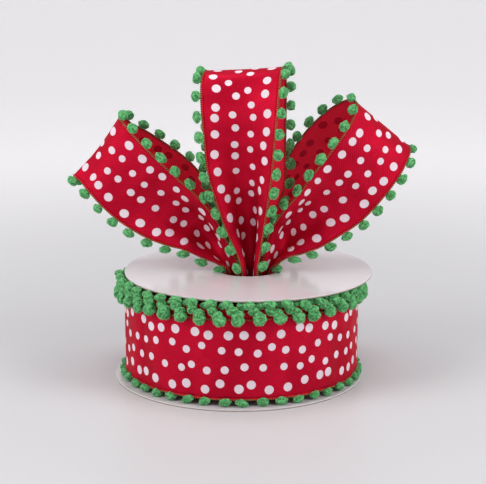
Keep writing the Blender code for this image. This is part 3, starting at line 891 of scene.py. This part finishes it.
def place_pompoms(name, places, shapes, material, seed, node, floor=0.0):
    """Joins a row of pompoms in one mesh. Each place has a centre, its directions and its sizes."""
    chance = np.random.default_rng(seed)
    points = []
    faces = []
    pile_painted_shade = []
    first = 0
    for centre, ahead, out, up, sizes in places:
        # depth is each point's painted light and shade in the pile
        shape, triangles, depth = shapes[chance.integers(0, len(shapes))]
        lean = chance.normal(0.0, POMPOM_LEAN)
        length = unit(ahead * math.cos(lean) + up * math.sin(lean))
        rise = unit(np.cross(length, out))
        grown = np.array(sizes) * chance.uniform(*POMPOM_UNEVEN, 3)
        axes = np.stack([length * grown[0], out * grown[1], rise * grown[2]])
        spin, _ = np.linalg.qr(chance.normal(size=(3, 3)))
        points.append(centre + (shape @ spin) @ axes)
        faces.append(triangles + first)
        pile_painted_shade.append(depth)
        first += len(shape)
    points = np.concatenate(points)
    points[:, 2] = np.maximum(points[:, 2], floor)
    piece = add_piece(name, points, np.concatenate(faces).tolist(), [material], smooth_angle=None)
    # the pile's painted light and shade, kept on the points for the material
    layer = piece.data.attributes.new("pile_painted_shade", "FLOAT", "POINT")
    layer.data.foreach_set("value", np.clip(np.concatenate(pile_painted_shade), 0.0, 1.0).astype(np.float32))
    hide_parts(node)
    return piece


def stitched_thread(name, points, outs, ups, material):
    """A fine thread that winds over an edge of the ribbon."""
    travelled = travel(points)
    turns = int(travelled[-1] / STITCH_PITCH)
    places = np.linspace(0.0, travelled[-1], turns * STITCH_STEPS + 1)
    point = read_along(places, travelled, points)
    out = unit(read_along(places, travelled, outs))
    up = unit(read_along(places, travelled, ups))
    angle = (np.arange(len(places)) * math.tau / STITCH_STEPS)[:, None]
    round_edge = np.cos(angle) * out + np.sin(angle) * up
    centre = point + round_edge * STITCH_RADIUS - out * STITCH_INWARD
    ahead = unit(np.gradient(centre, axis=0))
    aside = unit(np.cross(ahead, round_edge))
    ways = (round_edge, aside, -round_edge, -aside)
    rings = np.stack([centre + way * THREAD_RADIUS for way in ways], axis=1)
    faces = loft_faces(len(rings), len(ways), False)
    last = (len(rings) - 1) * len(ways)
    faces.append(tuple(range(len(ways))))
    faces.append(tuple(range(last, last + len(ways))))
    piece = add_piece(name, rings.reshape(-1, 3), faces, [material], smooth_angle=None)
    return piece


def loop_pompom_places(points, normals, outs, first, count):
    """Evenly spaced places along one edge of a loop."""
    travelled = travel(points)
    aheads = np.gradient(points, axis=0)
    places = []
    for i in range(count):
        place = first + i * POMPOM_PITCH
        point, ahead, out, up = (
            read_along(place, travelled, vectors) for vectors in (points, aheads, outs, normals)
        )
        out = unit(out)
        up = unit(up - up @ out * out)
        places.append((point + out * POMPOM_OFFSET, unit(ahead), out, up, POMPOM_SIZE))
    return places


def rim_distance(out):
    """How far the top disc's rim is from the roll's axis, in one direction."""
    offset = np.array(TOP_CENTRE) - np.array(ROLL_CENTRE)
    along = offset @ out[:2]
    return along + math.sqrt(FLANGE_RADIUS**2 - offset @ offset + along**2)


def roll_pompom_places(shift, radius, height, half_length, half_depth, half_height, spills, chance):
    """Places of one row round the roll."""
    places = []
    for i in range(ROLL_POMPOMS):
        turn = math.tau * i / ROLL_POMPOMS
        angle = turn + (shift + chance.normal(0.0, ROLL_SHIFT_JITTER)) / radius
        out = np.array([math.cos(angle), math.sin(angle), 0.0])
        ahead = np.array([-out[1], out[0], 0.0])
        distance = radius
        level = height + chance.normal(0.0, ROLL_LEVEL_JITTER)
        beyond_rim = rim_distance(out) + half_depth + RIM_GAP
        if spills and beyond_rim < SPILL_RADIUS:
            distance = max(radius, beyond_rim)
            level += SPILL_HEIGHT - height
        centre = np.array([*ROLL_CENTRE, level]) + out * distance
        places.append((centre, ahead, out, UP, (half_length, half_depth, half_height)))
    return places


def turned(profile, centre, segments):
    """Points of a profile, as radii and heights, turned round an upright axis."""
    points = []
    for i in range(segments):
        angle = math.tau * i / segments
        points.extend(
            (centre[0] + radius * math.cos(angle), centre[1] + radius * math.sin(angle), height)
            for radius, height in profile
        )
    return points


def lathe(name, profile, centre, segments, materials, slots=(0,)):
    """A closed profile turned to a piece. Slots go round the profile, or are one for all of it."""
    points = turned(profile, centre, segments)
    faces = loft_faces(segments, len(profile), True)
    face_slots = list(slots) * (len(faces) // len(slots))
    return add_piece(name, points, faces, materials, face_slots, TURNED_SMOOTH_ANGLE)


def card_disc(name, centre, bottom, node, materials):
    """A cut disc of coated card: bare board shows round its rim, under the coating of its top."""
    top = bottom + CARD
    profile = [
        (FLANGE_HOLE + CARD_ROUNDING, bottom),
        (FLANGE_RADIUS - CARD_ROUNDING, bottom),
        (FLANGE_RADIUS, bottom + CARD_ROUNDING),
        (FLANGE_RADIUS, top - CARD_COATING),
        (FLANGE_RADIUS, top - CARD_ROUNDING),
        (FLANGE_RADIUS - CARD_ROUNDING, top),
        (FLANGE_HOLE + CARD_ROUNDING, top),
        (FLANGE_HOLE, top - CARD_ROUNDING),
        (FLANGE_HOLE, bottom + CARD_ROUNDING),
    ]
    piece = lathe(name, profile, centre, DISC_SEGMENTS, materials, (0, 0, 1, 0, 0, 0, 0, 1, 0))
    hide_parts(node)
    return piece


def build_spool():
    card = card_material()
    bare = kraft_material("bare card edge")
    card_disc("card_disc_bottom", BOTTOM_CENTRE, 0.0, "spool_bottom_flange", [card, bare])
    card_disc("card_disc_top", TOP_CENTRE, SPOOL_HEIGHT - CARD, "spool_top_flange", [card, bare])
    low = CARD + TOUCH
    high = SPOOL_HEIGHT - CARD - TOUCH
    profile = [(CORE_BORE, low), (CORE_RADIUS, low), (CORE_RADIUS, high), (CORE_BORE, high)]
    tube = kraft_material("card tube", TUBE_SEAM_PITCH)
    core = lathe("card_tube", profile, ROLL_CENTRE, TUBE_SEGMENTS, [tube])
    turns = np.repeat(np.arange(TUBE_SEGMENTS) / TUBE_SEGMENTS, len(profile))
    map_cloth(core, turns, np.tile([height for _, height in profile], TUBE_SEGMENTS))
    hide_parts("spool_core")


def build_wound_ribbon(satin, wrong_side):
    """The roll's last turns as one spiral sheet. Gives back its points and outward directions."""
    steps = LOOSE_TURNS * TURN_STEPS
    back = LOOSE_TURNS - np.arange(steps + 1) / TURN_STEPS
    angles = math.radians(ROLL_END_ANGLE) - math.tau * back
    ripple = sum(height * np.sin(waves * angles + start) for waves, height, start in ROLL_RIPPLES)
    radii = ROLL_RADIUS - RIBBON_SHEET / 2 - TURN_PITCH * back + ripple
    lows = ROLL_BASE + TURNS_RISE * (1 - np.exp(-np.maximum(back - 1, 0) / RISE_TURNS))
    outs = np.stack([np.cos(angles), np.sin(angles), np.zeros(steps + 1)], axis=1)
    axis = np.array([*ROLL_CENTRE, 0.0])
    centres = axis + outs * radii[:, None] + UP * (lows + RIBBON_WIDTH / 2)[:, None]
    columns = ribbon_columns()[::2]
    points = centres[:, None, :] + UP * (columns * RIBBON_WIDTH)[None, :, None]
    normals = np.repeat(outs[:, None, :], len(columns), axis=1)
    along = travel(centres)
    wound = ribbon_piece("wound_ribbon", points, normals, columns, along, [satin, wrong_side])
    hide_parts("ribbon_roll")
    return points, outs


def build_inner_turns(wrong_side):
    """A plain ring in place of the turns inside the ones that are drawn."""
    inside = CORE_RADIUS + TOUCH
    outside = ROLL_RADIUS - TURN_PITCH * (LOOSE_TURNS + 1)
    low = ROLL_BASE + TURNS_RISE
    high = low + RIBBON_WIDTH - RING_DROP
    profile = [(inside, low), (outside, low), (outside, high), (inside, high)]
    ring = lathe("wound_turns_inside", profile, ROLL_CENTRE, RING_SEGMENTS, [wrong_side])
    along = np.repeat(np.arange(RING_SEGMENTS) * RING_CLOTH_STEP, len(profile))
    across = np.tile([height - RING_CLOTH_MIDDLE for _, height in profile], RING_SEGMENTS)
    map_cloth(ring, along, across)


def build_roll(satin, wrong_side, chenille, thread, shapes):
    """The wound ribbon with its rows of pompoms, and the stitches on the edges of its last turn."""
    points, outs = build_wound_ribbon(satin, wrong_side)
    build_inner_turns(wrong_side)
    chance = np.random.default_rng(ROLL_SEED)
    for i, (node, rows) in enumerate(ROLL_ROWS.items()):
        places = [place for row in rows for place in roll_pompom_places(*row, chance)]
        name = node.replace("pompoms", "chenille")
        place_pompoms(name, places, shapes, chenille, ROLL_ROW_SEED + i, node, CARD + FLOOR_GAP)
    last = slice(-TURN_STEPS - 1, None)
    for name, column, edge in (("edge_thread_roll_bottom", 0, -UP), ("edge_thread_roll_top", -1, UP)):
        edges = np.tile(edge, (TURN_STEPS + 1, 1))
        stitched_thread(name, points[last, column], edges, outs[last], thread)


def build_loops(satin, wrong_side, chenille, thread, shapes):
    """Each loop with the pompoms and stitches of its two edges."""
    columns = ribbon_columns()
    for number, (name, table) in enumerate(LOOPS.items()):
        points, normals, tangents, along = ribbon_sections(table, CREASES[name], columns)
        loop = ribbon_piece("ribbon_" + name + "_loop", points, normals, columns, along, [satin, wrong_side])
        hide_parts("ribbon_loop_" + name)
        for side, (edge, column, sign) in enumerate((("a", 0, -1), ("b", -1, 1))):
            ending = name + "_" + edge
            edge_points = points[:, column]
            edge_normals = normals[:, column]
            outs = sign * tangents[:, column]
            places = loop_pompom_places(edge_points, edge_normals, outs, *LOOP_POMPOMS[name][side])
            seed = LOOP_SEED_STEP * number + side
            place_pompoms("chenille_" + ending, places, shapes, chenille, seed, "pompoms_loop_" + ending)
            stitched_thread("edge_thread_" + ending, edge_points, outs, edge_normals, thread)


def build_stage():
    profile = [(STAGE_MIDDLE, 0.0), (STAGE_FLAT, 0.0)]
    for i in range(1, BEND_STEPS + 1):
        angle = math.radians(90.0 / BEND_STEPS * i)
        profile.append((STAGE_FLAT + STAGE_BEND * math.sin(angle), STAGE_BEND * (1 - math.cos(angle))))
    profile.append((STAGE_FLAT + STAGE_BEND, STAGE_HEIGHT))
    size = len(profile)
    faces = []
    for i in range(STAGE_SEGMENTS):
        for j in range(size - 1):
            there = (i + 1) % STAGE_SEGMENTS * size
            faces.append((i * size + j, there + j, there + j + 1, i * size + j + 1))
    faces.append(tuple(i * size for i in reversed(range(STAGE_SEGMENTS))))
    mesh = bpy.data.meshes.new("stage")
    mesh.from_pydata(turned(profile, (0.0, 0.0), STAGE_SEGMENTS), [], faces)
    mesh.materials.append(stage_material())
    mesh.shade_smooth()
    stage = bpy.data.objects.new("stage", mesh)
    bpy.context.scene.collection.objects.link(stage)


def build_camera():
    data = bpy.data.cameras.new("camera")
    data.sensor_width = SENSOR
    data.lens = FOCAL_PIXELS / PICTURE_WIDTH * SENSOR
    camera = bpy.data.objects.new("camera", data)
    camera.location = CAMERA_PLACE
    camera.rotation_euler = (math.pi / 2 - CAMERA_DOWN, 0.0, 0.0)
    bpy.context.scene.collection.objects.link(camera)
    bpy.context.scene.camera = camera


def build_lights():
    for name, place, size, power in LIGHTS:
        data = bpy.data.lights.new(name, "AREA")
        data.shape = "DISK"
        data.size = size
        data.energy = power
        light = bpy.data.objects.new(name, data)
        light.location = place
        light.visible_camera = False
        light.rotation_euler = (Vector(AIM) - Vector(place)).to_track_quat("-Z", "Y").to_euler()
        bpy.context.scene.collection.objects.link(light)
    world = bpy.data.worlds.new("studio")
    world.use_nodes = True
    sky = world.node_tree.nodes["Background"]
    sky.inputs["Color"].default_value = SKY
    sky.inputs["Strength"].default_value = SKY_STRENGTH
    bpy.context.scene.world = world
    bpy.context.scene.view_settings.view_transform = "Standard"


def main():
    dots = dots_group()
    satin = satin_material(dots)
    wrong_side = wrong_side_material(dots)
    chenille = chenille_material()
    thread = thread_material()
    shapes = [pompom_shape(seed) for seed in range(POMPOM_SHAPES)]
    build_spool()
    build_roll(satin, wrong_side, chenille, thread, shapes)
    build_loops(satin, wrong_side, chenille, thread, shapes)
    build_stage()
    build_camera()
    build_lights()


main()
